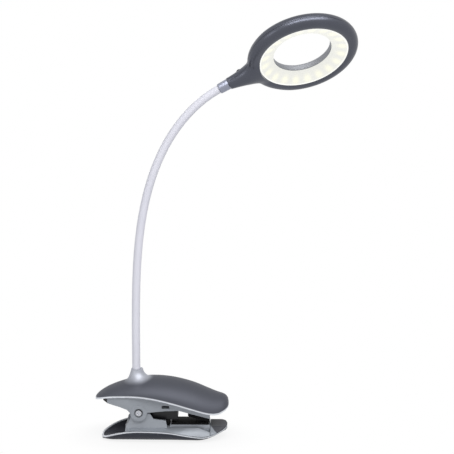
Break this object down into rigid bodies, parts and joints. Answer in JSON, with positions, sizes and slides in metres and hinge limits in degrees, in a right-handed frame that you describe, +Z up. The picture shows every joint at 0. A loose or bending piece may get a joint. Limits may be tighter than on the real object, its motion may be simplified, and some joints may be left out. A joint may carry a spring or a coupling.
{
  "type": "clip-on reading lamp",
  "caption": "Clip-on reading lamp: sprung clip with rubber-padded jaw, bendable gooseneck and a ring-shaped LED head.",
  "frame": {"origin": "on the flat underside of the clip's lower arm, below the foot of the gooseneck", "axes": "+X from the gooseneck to the jaw, towards which the head leans; +Y to the far side of the clip; +Z up, along the foot of the gooseneck"},
  "size_m": [0.2514, 0.085, 0.4177],
  "materials": {
    "dark_shell": "satin metallic grey",
    "grey_frame": "satin pale metallic grey",
    "black_rubber": "matte black",
    "nose_rubber": "matte dark grey",
    "white_sleeve": "matte off-white",
    "diffuser": "translucent warm white",
    "circuit_board": "green solder mask",
    "wire": "insulated wire",
    "black_plastic": "fine matte black",
    "cell_wrap": "foil pouch",
    "steel": "bright plated"
  },
  "bodies": {
    "lower_arm": {"lower_shell": "dark_shell", "lower_frame": "grey_frame", "lower_pad": "black_rubber", "nose_bumper": "nose_rubber", "rest_block": "black_rubber", "lower_screw_1": "steel", "lower_screw_2": "steel", "hinge_pin": "steel", "pivot_screw_near": "steel", "pivot_screw_far": "steel", "torsion_spring": "steel"},
    "upper_arm": {"upper_shell": "dark_shell", "upper_frame": "grey_frame", "upper_pad": "black_rubber", "upper_screw_1": "steel", "upper_screw_2": "steel", "battery_box": "black_plastic", "battery_cell": "cell_wrap", "control_board": "circuit_board", "charging_inlet": "steel", "hose_anchor": "steel", "hose_nut": "steel", "hose_sleeve_0": "white_sleeve", "base_lead": "wire"},
    "hose_1": {"hose_core_1": "steel", "hose_sleeve_1": "white_sleeve"},
    "hose_2": {"hose_core_2": "steel", "hose_sleeve_2": "white_sleeve"},
    "hose_3": {"hose_core_3": "steel", "hose_sleeve_3": "white_sleeve"},
    "hose_4": {"hose_core_4": "steel", "hose_sleeve_4": "white_sleeve"},
    "hose_5": {"hose_core_5": "steel", "hose_sleeve_5": "white_sleeve"},
    "hose_6": {"hose_core_6": "steel", "hose_sleeve_6": "white_sleeve"},
    "hose_7": {"hose_core_7": "steel", "hose_sleeve_7": "white_sleeve"},
    "hose_8": {"hose_core_8": "steel", "hose_sleeve_8": "white_sleeve", "ferrule": "steel", "swivel_clip": "steel"},
    "head": {"head_cover": "dark_shell", "head_bezel": "dark_shell", "diffuser": "diffuser", "led_board": "circuit_board", "board_screw_1": "steel", "board_screw_2": "steel", "board_screw_3": "steel", "button_switch": "black_plastic", "head_lead": "wire"},
    "button": {"power_button": "black_plastic"}
  },
  "joints": [
    {"name": "clip_hinge", "type": "hinge", "parent": "lower_arm", "child": "upper_arm", "pos_m": [0.0023, 0, 0.0302], "axis": [0, -1, 0], "range_deg": [0, 28], "stiffness_Nm_per_rad": 0.9, "springref_deg": -51.57, "deforming": ["torsion_spring"]},
    {"name": "hose_bend_1", "type": "hinge", "parent": "upper_arm", "child": "hose_1", "pos_m": [-0.0008, 0, 0.0864], "axis": [0, 1, 0], "range_deg": [-22, 22]},
    {"name": "hose_bend_2", "type": "hinge", "parent": "hose_1", "child": "hose_2", "pos_m": [-0.00063, 0, 0.12497], "axis": [0.9999, 0, -0.0114], "range_deg": [-22, 22]},
    {"name": "hose_bend_3", "type": "hinge", "parent": "hose_2", "child": "hose_3", "pos_m": [0.0004, 0, 0.16353], "axis": [0, 1, 0], "range_deg": [-22, 22]},
    {"name": "hose_bend_4", "type": "hinge", "parent": "hose_3", "child": "hose_4", "pos_m": [0.00346, 0, 0.20197], "axis": [0.993, 0, -0.1178], "range_deg": [-22, 22]},
    {"name": "hose_bend_5", "type": "hinge", "parent": "hose_4", "child": "hose_5", "pos_m": [0.01004, 0, 0.23995], "axis": [0, 1, 0], "range_deg": [-22, 22]},
    {"name": "hose_bend_6", "type": "hinge", "parent": "hose_5", "child": "hose_6", "pos_m": [0.02188, 0, 0.27662], "axis": [0.9208, 0, -0.39], "range_deg": [-22, 22]},
    {"name": "hose_bend_7", "type": "hinge", "parent": "hose_6", "child": "hose_7", "pos_m": [0.04063, 0, 0.31023], "axis": [0, 1, 0], "range_deg": [-22, 22]},
    {"name": "hose_bend_8", "type": "hinge", "parent": "hose_7", "child": "hose_8", "pos_m": [0.06735, 0, 0.33785], "axis": [0.6045, 0, -0.7966], "range_deg": [-22, 22]},
    {"name": "head_swivel", "type": "hinge", "parent": "hose_8", "child": "head", "pos_m": [0.08948, 0, 0.35145], "axis": [0.8746, 0, 0.4848], "range_deg": [-50, 130]},
    {"name": "button_press", "type": "slide", "parent": "head", "child": "button", "axis": [0.3741, -0.6361, -0.6749], "range_m": [0, 0.0006], "stiffness_N_per_m": 500, "springref_m": -0.0004}
  ]
}
